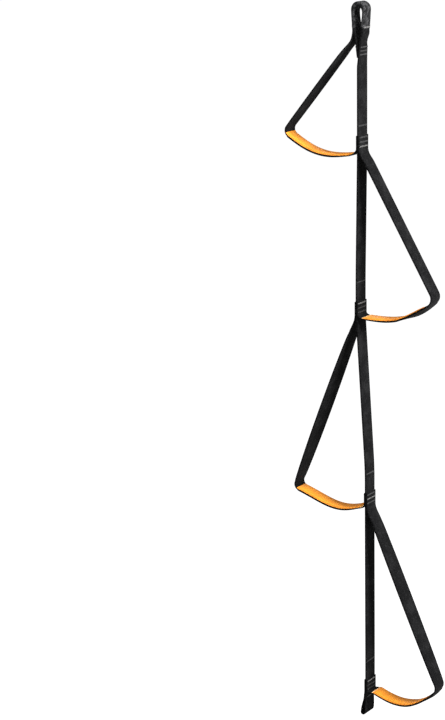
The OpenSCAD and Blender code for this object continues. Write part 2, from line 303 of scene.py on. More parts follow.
spine_line.add(curve(tail_end, tail_end + up(4 * mm), patch_low - up(4 * mm), patch_low, 6))
spine_line.add(run(patch_low, patch_top, 5 * mm) + [patch_top])
print("tail rows from", spine_line.marks["tail"], "to", len(spine_line.points))

# %% [markdown]
# A step's leg leaves the face of the block above it and swings out to the corner. The corner is a tight bend
# round a radius of 10 to 14 mm. The tread falls from it, dips like a hammock and rises to the block, where
# the tape turns up and is sewn flat. A leg's tape doesn't hang dead flat: it turns a little about its own
# length. A tread looks thicker than a leg, so it is drawn thicker too, with all of the extra on its lower side.

# %% The steps' rows
LEG_TWIST = [-3, 0, -16, -9]
TREAD_TWIST = [0, -9, 0, -6]
TREAD_T, SWING_NEAR_1 = 3 * mm, 14 * mm


def upper_side(line, i, k):
    """The way that faces up from a tread at row k."""
    way = line.direction(k)
    return -side(i) * Vector((-way.z, 0, way.x))


def step_rows(i):
    s, line = side(i), Line()
    if i == 1:
        top = left_strand_at(STRANDS_FREE, TAPE_T / 2)
        shape = opening(STRANDS_FREE)
        line.add(run(left_strand_at(SLEEVE_IN, TAPE_T / 2), top, 2 * mm), FOLDED_W)
    else:
        top = fold[i - 1] + Vector((s * TAPE_T, 0, FOLD_CLEAR))
        shape = TAPE_W
        line.add(run(top + up(BLOCK_H - FOLD_CLEAR), top, 5 * mm))
    out = leg_at(i, LEG_START * (2 if i == 1 else 1))
    reach = (0.5 if i == 1 else 0.4) * (out - top).length
    soft = curve(top, top - up(reach), out - leg_dir(i) * reach, out, 14)
    held = 6 if i > 1 else sum(off_spine(1, p) < SWING_NEAR_1 - 0.5 * mm for p in soft)
    line.add(soft[:held], shape)
    line.mark("leg")
    line.add(soft[held:], shape)
    turn = math.acos(leg_dir(i).dot(tread_dir(i)))
    cut = CORNER_R[i - 1] * math.tan(turn / 2)
    leg_end = step_corner(i) - leg_dir(i) * cut
    far = (leg_end - out).length

    def twist(p):
        u = min(1.0, (p - out).length / far)
        return math.radians(LEG_TWIST[i - 1]) * math.sin(math.pi * u) ** 0.6

    line.add(run(out, leg_end, 7 * mm), shape, TAPE_T, twist)
    arm = Matrix.Rotation(math.radians(-90 * s), 3, "Y") @ leg_dir(i) * CORNER_R[i - 1]
    centre = leg_end - arm
    line.add(arc(centre, arm, s * turn, 10))
    start = centre + Matrix.Rotation(s * turn, 3, "Y") @ arm
    end = fold[i] + Vector((s * TREAD_START, 0, -TREAD_DROP[i - 1]))
    slope = math.radians(INNER_SLOPE[i - 1])
    rise = Vector((-s * math.cos(slope), 0, math.sin(slope)))
    reach = 0.42 * (end - start).length
    line.mark("tread")
    span = (end - start).length

    def roll(p):
        u = min(1.0, (p - start).length / (0.55 * span))
        return math.radians(TREAD_TWIST[i - 1]) * math.sin(math.pi * u)

    line.add(curve(start, start + tread_dir(i) * reach, end - rise * reach, end, 26), TAPE_W, TREAD_T, roll)
    line.mark("turn up")
    sewn = fold[i] + Vector((s * TAPE_T, 0, FOLD_CLEAR))
    line.add(curve(end, end + rise * 8 * mm, sewn - up(5 * mm), sewn, 12))
    for k in range(line.marks["tread"], line.marks["turn up"]):
        extra = (TREAD_T - TAPE_T) * min(1.0, (line.marks["turn up"] - k) / 7)
        line.points[k] = line.points[k] - upper_side(line, i, k) * extra / 2
        line.thick[k] = TAPE_T + extra
    line.add(run(sewn, sewn + up(BLOCK_H - FOLD_CLEAR), 5 * mm) + [sewn + up(BLOCK_H - FOLD_CLEAR)])
    return line


step_line = {i: step_rows(i) for i in STEPS}
for i in STEPS:
    print("step", i, "rows", len(step_line[i].points), "corner off by",
          round((step_line[i].points[step_line[i].marks["tread"]] - step_corner(i)).length / mm, 1), "mm")

# %% [markdown]
# A strap is modelled as a weaver would think of it: one cross-section, drawn out along its line. The section
# starts as a plane whose four corners are bevelled round, because a woven edge has no sharp corner. Its face
# is extruded row by row. At each row it is laid flat, sized or twisted, and turned to the new direction.
# Blender's turn operator goes the other way round when it has no window, so the helper gives it minus the
# angle. The UV map then says how far along and how far across the strap each corner lies, in metres. Every
# weave pattern reads that map, so the ribs follow a strap round its bends.

# %% Drawing out a strap
def turn_selected(angle, axis, centre):
    bpy.ops.transform.rotate(value=-angle, orient_axis=axis, center_override=centre)


def tilt(way):
    """The turn about Y that takes straight down to a direction in the ladder's plane."""
    return math.atan2(-way.x, -way.z)


def map_along(piece, line):
    """Writes the UV map: u is how far along the line, v how far across it."""
    mesh, points = piece.data, np.array(line.points)
    places = np.array([v.co for v in mesh.vertices])
    nearest = np.argmin(((places[:, None, :] - points[None, :, :]) ** 2).sum(axis=2), axis=1)
    along = line.lengths()[nearest]
    across = []
    for place, k in zip(places, nearest):
        way = line.direction(k)
        wide = Matrix.Rotation(tilt(way), 3, "Y") @ Matrix.Rotation(line.twist[k], 3, "Z") @ Vector((0, 1, 0))
        across.append((Vector(place) - line.points[k]).dot(wide))
    layer = mesh.uv_layers.get("strap") or mesh.uv_layers.new(name="strap")
    mesh.uv_layers.active = layer
    corners = np.array([loop.vertex_index for loop in mesh.loops])
    layer.data.foreach_set("uv", np.stack([along[corners], np.array(across)[corners]], axis=1).ravel())


def draw_strap(name, line, first=0, last=None, edge=0.9 * mm, smooth=45):
    """One strap from row first to row last of a line, as a closed solid."""
    last = len(line.points) - 1 if last is None else last
    bpy.ops.object.select_all(action="DESELECT")
    bpy.ops.mesh.primitive_plane_add(size=1)
    piece = bpy.context.object
    piece.name = name
    bpy.ops.object.mode_set(mode="EDIT")
    bpy.ops.transform.resize(value=(line.thick[first], line.width[first], 1), center_override=(0, 0, 0))
    bpy.ops.mesh.bevel(offset=min(edge, line.thick[first] * 0.46), segments=3, affect="VERTICES")
    bpy.ops.mesh.select_all(action="SELECT")
    if line.twist[first]:
        turn_selected(line.twist[first], "Z", (0, 0, 0))
    turn_selected(tilt(line.direction(first)), "Y", (0, 0, 0))
    bpy.ops.transform.translate(value=line.points[first])
    for k in range(first + 1, last + 1):
        here = line.points[k]
        bpy.ops.mesh.extrude_region_move(TRANSFORM_OT_translate={"value": here - line.points[k - 1]})
        turn_selected(-tilt(line.direction(k - 1)), "Y", here)
        turn_selected(-line.twist[k - 1], "Z", here)
        grow = (line.thick[k] / line.thick[k - 1], line.width[k] / line.width[k - 1], 1)
        bpy.ops.transform.resize(value=grow, center_override=here)
        turn_selected(line.twist[k], "Z", here)
        turn_selected(tilt(line.direction(k)), "Y", here)
    bpy.ops.mesh.select_all(action="SELECT")
    bpy.ops.mesh.normals_make_consistent(inside=False)
    bpy.ops.object.mode_set(mode="OBJECT")
    settle(piece)
    map_along(piece, line)
    bpy.ops.object.shade_smooth_by_angle(angle=math.radians(smooth))
    return piece


def settle(piece):
    """Puts the piece's place into its mesh, so that its object sits at the origin."""
    bpy.ops.object.select_all(action="DESELECT")
    piece.select_set(True)
    bpy.context.view_layer.objects.active = piece
    bpy.ops.object.transform_apply(location=True, rotation=True, scale=True)
    return piece

# %% [markdown]
# The clip loop is the part that a carabiner goes through. Its tape is folded narrow and runs up, over a round
# crown and down. A tube of coarser webbing is pulled over it against wear, and shows a rounder, softer edge.
# It bunches over the crown and at its foot, and it does so towards the eye, so its outline stays smooth.

# %% The clip loop and its sleeve
def loop_rows(height, width, thick):
    line = Line()
    centre = Vector((0, 0, -EYE_W / 2))
    arm = CROWN_R * Vector((-math.cos(LEAN), 0, -math.sin(LEAN)))
    round_crown = math.pi + 2 * LEAN
    right_arm, low_right = Matrix.Rotation(round_crown, 3, "Y") @ arm, strand_at(-height)
    line.add(run(left_strand_at(-height), centre + arm, 2 * mm), width, thick)
    line.add(arc(centre, arm, round_crown, 30), width, thick)
    line.add(run(centre + right_arm, low_right, 2 * mm) + [low_right], width, thick)
    return line


def swell_inwards(line, most):
    """Thickens each row on the eye's side only, so that the outline stays."""
    for k, p in enumerate(line.points):
        crown = min(1.0, max(0.0, (p.z + 12 * mm) / (10 * mm)))
        grow = most + closing(p.z) + 2.6 * mm * crown
        inwards = line.direction(k).cross(Vector((0, 1, 0)))
        if inwards.dot(Vector((0, 0, -EYE_W / 2)) - Vector((p.x, 0, max(p.z, -EYE_W / 2)))) < 0:
            inwards.negate()
        line.points[k] = p + inwards * grow / 2
        line.thick[k] += grow


loop_line = loop_rows(40 * mm, FOLDED_W, FOLDED_T)
clip_loop = draw_strap("clip_loop_strap", loop_line, edge=1.2 * mm)
sleeve_line = loop_rows(38 * mm, 21.4 * mm, 4.4 * mm)
swell_inwards(sleeve_line, 0.7 * mm)
SLEEVE_HEM = [0.9, 1.0, 1.03, 0.97, 0.95, 1.0]
for k, share in enumerate(SLEEVE_HEM):
    for row in (k, -1 - k):
        sleeve_line.thick[row] *= share
        sleeve_line.width[row] *= 1 + (share - 1) / 4
sleeve = draw_strap("loop_sleeve_cover", sleeve_line, edge=1.9 * mm, smooth=60)
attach(clip_loop, "head")
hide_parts("clip_loop_tape")
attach(sleeve, "head")
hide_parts("loop_sleeve")
print("sleeve faces", len(sleeve.data.polygons))

# %% [markdown]
# Under the loop the two strands run together. The right one becomes the spine. The left one splits in two:
# its inner layer crosses to the spine and is lapped on it, and its outer layer becomes the first step's leg.
# All three run across the neck hinge, from the head into the first section.

# %% The neck
GUSSET_T, LAP_T, LAP_H = 4.4 * mm, 3.4 * mm, 23 * mm
neck = draw_strap("neck_strap", spine_line, 0, spine_line.marks["neck end"])
gusset_line, LAP_OUT = Line(), Vector((-3 * mm, 0, 0))
gusset_top = left_strand_at(STRANDS_FREE, -TAPE_T / 2)
lap_top = SPINE_TOP - Vector((TAPE_T, 0, 0))
lap_low = lap_top - up(LAP_H)
pull = 0.8 * up(0.4 * (lap_top - gusset_top).length)
strand_in = left_strand_at(SLEEVE_IN, -TAPE_T / 2) - inwards
gusset_line.add(run(strand_in, gusset_top - inwards, 2 * mm), FOLDED_W, GUSSET_T)
gusset_line.add(curve(gusset_top - inwards, gusset_top - inwards - pull,
                      lap_top + LAP_OUT + pull, lap_top + LAP_OUT, 12), FOLDED_W, LAP_T)
for p in run(lap_top, lap_low, 3 * mm) + [lap_low]:
    left = (p.z - lap_low.z) / (lap_top.z - lap_low.z)
    thick = 1.0 * mm + 2.4 * mm * left
    flush = Vector(((TAPE_T - thick) / 2 * (1 - left), 0, 0))
    gusset_line.add([p + LAP_OUT * left + flush], opening(SPINE_TOP.z), thick)
gusset = draw_strap("neck_gusset_and_lap", gusset_line)
leg_start = draw_strap("leg_start_1", step_line[1], 0, step_line[1].marks["leg"])
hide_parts("neck_tape")
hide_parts("neck_gusset", "neck_lap")
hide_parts("leg_neck_1")
for piece in (neck, gusset, leg_start):
    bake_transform(piece)
print("neck pieces", [piece.name for piece in (neck, gusset, leg_start)])

# %% [markdown]
# The spine is one tape from top to bottom. It bends at each fold, and a piece can bend between two bodies
# only, so it is drawn in four parts. Each part ends a few millimetres below a fold. The lowest part stops
# inside the last block, where the tail takes over, and only that part is attached to the last section.

# %% The spine and the tail
spine = []
spine_marks = ["neck end", "spine 2", "spine 3", "spine 4", "tail"]
for i in STEPS:
    piece = draw_strap(f"spine_strap_{i}", spine_line, spine_line.marks[spine_marks[i - 1]],
                       spine_line.marks[spine_marks[i]])
    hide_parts(f"spine_tape_{i}")
    if i < 4:
        f"section_{i + 1}"
        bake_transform(piece)
    else:
        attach(piece, "section_4")
    spine.append(piece)
tail = draw_strap("tail_strap", spine_line, spine_line.marks["tail"])
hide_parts("tail_loop", "tail_neck", "tail_tape_end")
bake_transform(tail)
print("spine parts", [len(piece.data.polygons) for piece in spine])

# %% [markdown]
# A stirrup swings about the line between its two folds. Near that line its tape is held by the sewn blocks,
# and further out it follows the stirrup. The top of each leg, where it leaves the block above, is a part of
# its own.

# %% The steps' straps
def outwards(i):
    """The way from the swing line out to the step."""
    along = (fold[i] - fold[i - 1]).normalized()
    return side(i) * Vector((-along.z, 0, along.x))


def swing_with(piece, i):
    near, far = (SWING_NEAR_1, 46 * mm) if i == 1 else (4 * mm, 26 * mm)
    fold[i] + outwards(i) * near
    fold[i] + outwards(i) * far
    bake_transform(piece)


steps = {}
for i in STEPS:
    if i > 1:
        top = draw_strap(f"leg_top_strap_{i}", step_line[i], 0, step_line[i].marks["leg"])
        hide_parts(f"leg_head_{i}", f"leg_neck_{i}")
        f"section_{i - 1}"
        fold[i - 1] + up(2 * mm)
        fold[i - 1] - up(5 * mm)
        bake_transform(top)
        steps[f"top {i}"] = top
    strap = draw_strap(f"step_strap_{i}", step_line[i], step_line[i].marks["leg"])
    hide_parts(f"leg_tape_{i}", f"tread_tape_{i}", f"tread_neck_{i}", f"step_tape_end_{i}")
    swing_with(strap, i)
    steps[i] = strap
print("step straps", [len(steps[i].data.polygons) for i in STEPS])

# %% [markdown]
# Each tread carries a bright liner, so that a boot finds it and the tape stays open. The liner is a folded
# strip: its two hems are sewn down flat, and the middle is a raised channel with a stiff strip in it. It is
# drawn like the tape, along the same line lifted to the tape's upper side: one wide thin strap for the hems
# and one narrower, thicker strap with round shoulders for the channel. At its inner end it is cut off.

# %% The liners
LINER_FROM, LINER_TO = [-4, 1, -3, 2], [6, 4, 5, 3]
HEM_W, HEM_T, CHANNEL_W, CHANNEL_T = 28.2 * mm, 0.9 * mm, 24 * mm, 2.2 * mm


def liner_rows(i, width, thick, short=0):
    line, tape = Line(), step_line[i]
    first = tape.marks["tread"] + LINER_FROM[i - 1] + short
    last = tape.marks["turn up"] + LINER_TO[i - 1] - short
    for k in range(first, last + 1):
        thin = 0.45 if k in (first, last) else 0.85 if k in (first + 1, last - 1) else 1.0
        lift = tape.thick[k] / 2 + thick * thin / 2
        twisted = Vector((math.cos(tape.twist[k]), math.sin(tape.twist[k]), 0))
        upper = Matrix.Rotation(tilt(tape.direction(k)), 3, "Y") @ twisted
        if upper.dot(upper_side(tape, i, k)) < 0:
            upper.negate()
        line.add([tape.points[k] + upper * lift], width, thick * thin, tape.twist[k])
    return line


def join_as(name, pieces):
    """Joins pieces into the first one and puts its place into its mesh."""
    bpy.ops.object.select_all(action="DESELECT")
    for piece in pieces:
        piece.select_set(True)
    bpy.context.view_layer.objects.active = pieces[0]
    bpy.ops.object.join()
    pieces[0].name = name
    return settle(pieces[0])


liners, liner_line = {}, {}
for i in STEPS:
    liner_line[i] = liner_rows(i, HEM_W, HEM_T)
    hems = draw_strap(f"liner_hems_{i}", liner_line[i], edge=0.35 * mm)
    channel_line = liner_rows(i, CHANNEL_W, CHANNEL_T, 1)
    channel = draw_strap(f"liner_channel_{i}", channel_line, edge=1.0 * mm, smooth=60)
    liners[i] = join_as(f"tread_liner_cover_{i}", [hems, channel])
    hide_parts(f"tread_liner_{i}")
    swing_with(liners[i], i)
print("liners", [round(liner_line[i].lengths()[-1] / mm) for i in STEPS], "mm long")

# %% [markdown]
# The hems are held by two rows of lockstitch. On the real strap a stitch is a short bead of thread that
# dives into the cloth at both ends. One bead is modelled: a six-sided bar whose ends are drawn in and sunk.
# It is then copied along both hems, a stitch every 3.2 mm, each turned to the slope of the strap there.

# %% The liners' stitching
def thread_bead(length, thick):
    bpy.ops.object.select_all(action="DESELECT")
    bpy.ops.mesh.primitive_cylinder_add(vertices=6, radius=thick / 2, depth=length * 0.6)
    bead = bpy.context.object
    bpy.ops.object.mode_set(mode="EDIT")
    for way in (1, -1):
        bpy.ops.mesh.select_all(action="DESELECT")
        bpy.ops.object.mode_set(mode="OBJECT")
        for face in bead.data.polygons:
            face.select = face.normal.z * way > 0.9
        bpy.ops.object.mode_set(mode="EDIT")
        bpy.ops.mesh.extrude_region_move(TRANSFORM_OT_translate={"value": (0, 0, way * length * 0.2)})
        bpy.ops.transform.resize(value=(0.45, 0.45, 1), center_override=(0, 0, way * length / 2))
    bpy.ops.object.mode_set(mode="OBJECT")
    bpy.ops.object.shade_smooth()
    return settle(bead)


def copy_at(piece, place):
    twin = piece.copy()
    twin.data = piece.data.copy()
    bpy.context.collection.objects.link(twin)
    twin.matrix_world = place
    return twin


STITCH_PITCH, HEM_SEAM = 3.2 * mm, 13 * mm
bead = thread_bead(2.5 * mm, 0.55 * mm)
stitching = {}
for i in STEPS:
    line, beads = liner_line[i], []
    lengths = line.lengths()
    for d in np.arange(3 * mm, lengths[-1] - 3 * mm, STITCH_PITCH):
        k = int(np.searchsorted(lengths, d))
        share = (d - lengths[k - 1]) / (lengths[k] - lengths[k - 1])
        here = line.points[k - 1].lerp(line.points[k], share)
        turn = Matrix.Rotation(tilt(line.direction(k)), 4, "Y") @ Matrix.Rotation(line.twist[k], 4, "Z")
        proud = upper_side(line, i, k) * (HEM_T / 2 + 0.1 * mm)
        for y in (-HEM_SEAM, HEM_SEAM):
            spot = here + proud + turn.to_3x3() @ Vector((0, y, 0))
            beads.append(copy_at(bead, Matrix.Translation(spot) @ turn))
    stitching[i] = join_as(f"liner_stitches_{i}", beads)
    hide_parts(f"liner_stitching_{i}")
    swing_with(stitching[i], i)
bpy.data.objects.remove(bead)
print("stitching faces", [len(stitching[i].data.polygons) for i in STEPS])

# %% [markdown]
# A bar tack is a dense zigzag: the needle runs out and back across a narrow band until the thread covers it.
# One pair of leaning beads is modelled and repeated by an Array modifier, which is then applied, over a low
# bar of thread underneath. Tacks of three lengths are made once, then copied to every sewn place.

# %% The bar tacks
TACK_H, TACK_PITCH = 2.3 * mm, 1.05 * mm


def bar_tack(length):
    parts = []
    for lean in (22, -22):
        stitch = thread_bead(TACK_H, 0.75 * mm)
        leaning = Matrix.Rotation(math.radians(lean), 4, "X")
        stitch.matrix_world = Matrix.Translation((0.3 * mm, -length / 2, 0)) @ leaning
        settle(stitch)
        repeat = stitch.modifiers.new("repeat", "ARRAY")
        repeat.use_relative_offset, repeat.use_constant_offset = False, True
        repeat.constant_offset_displace = (0, TACK_PITCH, 0)
        repeat.count = int(length / TACK_PITCH) + 1
        bpy.ops.object.modifier_apply(modifier="repeat")
        parts.append(stitch)
    bpy.ops.object.select_all(action="DESELECT")
    bpy.ops.mesh.primitive_cube_add(size=1, scale=(0.55 * mm, length + 1 * mm, TACK_H * 0.62))
    core = settle(bpy.context.object)
    bpy.ops.object.mode_set(mode="EDIT")
    bpy.ops.mesh.select_all(action="SELECT")
    bpy.ops.mesh.bevel(offset=0.22 * mm, segments=2)
    bpy.ops.object.mode_set(mode="OBJECT")
    return join_as("tack", parts + [core])


def sew(tack, place, out, lean=0.0):
    """Copies a tack to a place on a strap; out is 1 where the strap's face looks right, -1 left."""
    turn = Matrix.Rotation(lean, 4, "Y") @ Matrix.Rotation(0 if out > 0 else math.pi, 4, "Z")
    return copy_at(tack, Matrix.Translation(place) @ turn)


long_tack, middle_tack, short_tack = bar_tack(24 * mm), bar_tack(20 * mm), bar_tack(17 * mm)
TAPE_FACE, BLOCK_FACE = 1.05 * mm, 3.05 * mm
BAR_HEIGHTS = (7 * mm, 14.5 * mm, 22 * mm)
KEEPER_HEIGHT = [41 * mm, 58 * mm, 59 * mm, 59 * mm]
tacks = {}
for i in STEPS:
    places = [(BLOCK_FACE, height) for height in BAR_HEIGHTS] + [(TAPE_FACE, KEEPER_HEIGHT[i - 1])]
    sewn = [sew(long_tack, fold[i] + Vector((out * x, 0, z)), out) for x, z in places for out in (1, -1)]
    tacks[f"block {i}"] = join_as(f"block_tacks_{i}", sewn)
    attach(tacks[f"block {i}"], f"section_{i}")
    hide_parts(f"block_bar_tacks_{i}")
sewn = []
for share in (0.2, 0.5, 0.8):
    low = SPINE_TOP.z - share * LAP_H
    for line, out in ((spine_line, 1), (gusset_line, -1)):
        k = min(range(len(line.points)),
                key=lambda n: abs(line.points[n].z - low) + abs(line.points[n].x) * 0.1)
        face = line.points[k] + Vector((out * line.thick[k] / 2, 0, 0))
        sewn.append(sew(middle_tack, face, out, tilt(line.direction(k))))
tacks["lap"] = join_as("lap_tacks", sewn)
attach(tacks["lap"], "section_1")
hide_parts("lap_bar_tacks")
sewn = []
for way in (1, -1):
    for off, out in ((2.25 * mm, way), (-3.4 * mm, -way)):
        face = Vector((way * (strand_x(SLEEVE_IN) + off), 0, SLEEVE_IN))
        sewn.append(sew(short_tack, face, out, way * LEAN))
tacks["sleeve"] = join_as("sleeve_tacks", sewn)
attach(tacks["sleeve"], "head")
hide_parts("sleeve_bar_tacks")
sewn = [sew(middle_tack, tail_point(x, -8.5 * mm), out, TAIL_LEAN)
        for x, out in ((TAPE_FACE, 1), (TAIL_BACK - TAPE_FACE, -1))]
tacks["tail"] = join_as("tail_tack", sewn)
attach(tacks["tail"], "tail")
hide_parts("tail_bar_tack")
for tack in (long_tack, middle_tack, short_tack):
    bpy.data.objects.remove(tack)
print("bar tacks", {name: len(piece.data.polygons) for name, piece in tacks.items()})

# %% [markdown]
# The finishes are worked out by nodes. Two small classes keep them readable. A Shade wraps one output of a
# node, and sums, differences and products of Shades add their Math nodes. A Finish is one material: its
# method `node` adds any other node, sets the node's settings first, and then fills its sockets. `fill` gives
# a socket its value, as a link where the value is a Shade.

# %% Shader expressions
class Shade:
    def __init__(self, finish, socket):
        self.finish, self.socket = finish, socket

    def maths(self, operation, *others):
        return self.finish.node("ShaderNodeMath", {"operation": operation}, self, *others)

    def __add__(self, other): return self.maths("ADD", other)
    def __radd__(self, other): return self.maths("ADD", other)
    def __sub__(self, other): return self.maths("SUBTRACT", other)
    def __rsub__(self, other): return (self * -1) + other
    def __mul__(self, other): return self.maths("MULTIPLY", other)
    def __rmul__(self, other): return self.maths("MULTIPLY", other)

    def wave(self, length):
        """0 to 1 and back, once in each length."""
        return 0.5 + 0.5 * (self * (2 * math.pi / length)).maths("SINE")

    def zigzag(self, length):
        return self.maths("PINGPONG", length)

    def size(self):
        return self.maths("ABSOLUTE")

    def between(self, low, high):
        """0 below low, 1 above high, and a soft step between them."""
        soft_step = {"interpolation_type": "SMOOTHSTEP"}
        return self.finish.node("ShaderNodeMapRange", soft_step, self, low, high, 0.0, 1.0)


class Finish:
    def __init__(self, name):
        self.material = bpy.data.materials.new(name)
        self.material.use_nodes = True
        self.tree = self.material.node_tree
        self.shader = self.tree.nodes["Principled BSDF"]

    def node(self, kind, settings, *values, output=0, **named):
        made = self.tree.nodes.new(kind)
        for name, value in settings.items():
            setattr(made, name, value)
        pairs = list(zip([s for s in made.inputs if s.enabled], values))
        pairs += [(made.inputs[name.replace("_", " ")], value) for name, value in named.items()]
        for socket, value in pairs:
            self.fill(socket, value)
        return Shade(self, made.outputs[output])

    def fill(self, socket, value):
        if isinstance(value, Shade):
            self.tree.links.new(value.socket, socket)
        else:
            socket.default_value = value

    def cloth_map(self):
        """How far along and how far across the strap a point lies, in millimetres."""
        flat = self.node("ShaderNodeUVMap", {"uv_map": "strap"})
        parts = self.node("ShaderNodeSeparateXYZ", {}, flat)
        across = Shade(self, parts.socket.node.outputs[1])
        return parts * 1000, across * 1000

    def noise(self, scale, detail=3, rough=0.6):
        place = self.node("ShaderNodeTexCoord", {}, output=3)
        return self.node("ShaderNodeTexNoise", {}, Vector=place, Scale=scale, Detail=detail, Roughness=rough)

    def blend_colour(self, factor, low, high):
        made = self.node("ShaderNodeMix", {"data_type": "RGBA"}, output=2)
        mix = made.socket.node
        for socket, value in ((mix.inputs[0], factor), (mix.inputs[6], low), (mix.inputs[7], high)):
            self.fill(socket, value)
        return made

    def wear_on(self, colour, roughness, height, depth, **fixed):
        """Links what varies, sets what is the same all over, and turns the height into a bump."""
        bump = self.node("ShaderNodeBump", {}, Strength=1.0, Distance=depth, Height=height)
        for name, value in (("Base Color", colour), ("Roughness", roughness), ("Normal", bump)):
            self.tree.links.new(value.socket, self.shader.inputs[name])
        for name, value in fixed.items():
            self.shader.inputs[name.replace("_", " ")].default_value = value
        return self.material


def dress(piece, material):
    piece.data.materials.clear()
    piece.data.materials.append(material)


print("shader helpers ready")

# %% [markdown]
# The tape is black polyamide webbing. Its face is a herringbone: narrow ribs that lean one way, then the
# other, in bands across the tape, each rib made of fine yarns. Its selvedges are woven tighter and look like
# two dark cords, and their darkness in the colour is partly painted shade on the tape's edges. Black cloth is
# never evenly black: it greys where it rubs, and dust sits between the ribs.

# %% Black webbing
web = Finish("black_webbing")
along, across = web.cloth_map()
rib = (along + across.zigzag(3.75) * 1.1).wave(1.7)
yarn = (across + along * 0.15).wave(0.85)
# Selvedge mask: the tighter weave in the bump, and in the colour partly painted shade on the tape's edges.
selvedge_and_edge_shade = across.size().between(12.3, 12.9)
cord_edge = (along + across * 0.8).wave(1.05)
height = (rib * 0.72 + yarn * 0.28) * (1 - selvedge_and_edge_shade) + selvedge_and_edge_shade * (0.3 + 0.5 * cord_edge)
rubbed = web.noise(38.0).between(0.42, 0.68)
dust = web.noise(420.0, 3, 0.75).between(0.54, 0.68)
# The selvedge darkening in this colour is partly painted shade on the tape's edges.
pale = (0.25 + 0.75 * rib) * (0.55 + 0.45 * yarn) * (1 - 0.72 * selvedge_and_edge_shade) * (0.5 + 0.5 * rubbed) + dust * 0.6
webbing = web.wear_on(web.blend_colour(pale, (0.0003, 0.0003, 0.0004, 1), (0.0165, 0.0165, 0.0172, 1)),
                      0.72 + 0.2 * rib - 0.08 * rubbed, height + dust * 0.25, 0.28 * mm,
                      IOR=1.15, Specular_IOR_Level=0.05, Sheen_Weight=0.01, Sheen_Roughness=0.45)
for piece in [clip_loop, neck, gusset, leg_start, tail] + spine + list(steps.values()):
    dress(piece, webbing)
print("webbing nodes", len(web.tree.nodes))

# %% [markdown]
# The sleeve on the clip loop is a coarser tube: a plain weave whose yarns go over and under one by one. Its
# yarns stand up like small beads, and it has greyed more than the tape, because it rubs on the carabiner.

# %% The sleeve's weave
tube = Finish("sleeve_weave")
along, across = tube.cloth_map()
over = (along.wave(3.4) - 0.5) * (across.wave(4.2) - 0.5) * 2 + 0.5
fibre = (along + across).wave(0.55)
grey = tube.noise(140.0).between(0.38, 0.66)
speck = tube.noise(1500.0, 2, 0.7).between(0.6, 0.72)
height = over * 0.85 + fibre * 0.15
sleeve_dye = tube.blend_colour(height * (0.2 + 0.9 * grey) + speck * 0.6,
                               (0.0005, 0.0005, 0.0006, 1), (0.06, 0.06, 0.062, 1))
sleeve_weave = tube.wear_on(sleeve_dye, 0.78 + 0.15 * over, height + speck * 0.3, 0.5 * mm,
                            IOR=1.15, Specular_IOR_Level=0.05, Sheen_Weight=0.01, Sheen_Roughness=0.5)
dress(sleeve, sleeve_weave)
print("sleeve nodes", len(tube.tree.nodes))

# %% [markdown]
# The liner is bright orange cloth, woven in fine cross ribs. The dye is a little uneven, the shoulders of
# the channel carry a painted highlight, and the hems are painted darker as shade along their stitching.
# Its inner end is cut and melted, so the last millimetres are paler and smoother.

# %% The orange liner
cloth = Finish("orange_liner")
along, across = cloth.cloth_map()
cross_rib = (along + across.zigzag(2.0) * 0.25).wave(1.15)
weft = across.wave(0.8)
# Hem mask: painted shade along the stitched hems, darkening the liner's colour there.
hem_shade = across.size().between(12.4, 13.4)
uneven = cloth.noise(30.0).between(0.3, 0.7)
grime = cloth.noise(260.0, 4, 0.7).between(0.62, 0.78)
# Painted highlight: the channel's rounded shoulders are made paler in colour.
shoulder_highlight = (across.size() * 0.1).between(0.85, 1.2) * (1 - hem_shade)
# The liner's lightness, with the painted highlight on the shoulders and the painted shade on the hems.
light = 0.25 + 0.3 * cross_rib + 0.1 * weft + 0.3 * uneven + 0.16 * shoulder_highlight - 0.12 * hem_shade - 0.1 * grime
liner_dye = cloth.blend_colour(light, (0.36, 0.09, 0.002, 1), (0.78, 0.285, 0.016, 1))
liner_cloth = cloth.wear_on(liner_dye, 0.62 + 0.2 * cross_rib, cross_rib * 0.7 + weft * 0.3, 0.18 * mm,
                            Specular_IOR_Level=0.3, Sheen_Weight=0.12, Sheen_Roughness=0.4)
cut = Finish("melted_liner_end")
melted = cut.noise(700.0).between(0.35, 0.65)
cut_dye = cut.blend_colour(melted, (0.85, 0.42, 0.12, 1), (1.0, 0.74, 0.42, 1))
cut_end = cut.wear_on(cut_dye, 0.4 + 0.2 * melted, melted, 0.1 * mm, Specular_IOR_Level=0.4)
for i in STEPS:
    dress(liners[i], liner_cloth)
    liners[i].data.materials.append(cut_end)
    end = liner_line[i].points[-1]
    for face in liners[i].data.polygons:
        if (Vector((face.center.x, 0, face.center.z)) - end).length < 1.3 * mm:
            face.material_index = 1
print("liner nodes", len(cloth.tree.nodes))

# %% [markdown]
# The thread is thick bonded polyester, spun of plies that show as slanted stripes. The sleeve's bar tacks and
# one bar on each block are pale grey with a slight shine, the other bars are black, and the liners are sewn
# with orange. The stiff strip inside each channel is a smoky plastic, and it shows only where the channel is
# open.

# %% Thread and stiffener
PLY_PITCH = 0.62


def plies(finish):
    """Stripes that slant across a thread, in the thread's own space."""
    place = finish.node("ShaderNodeTexCoord", {}, output=3)
    parts = finish.node("ShaderNodeSeparateXYZ", {}, place).socket.node.outputs
    return (Shade(finish, parts[1]) * 1000 + Shade(finish, parts[2]) * 1000).wave(PLY_PITCH)


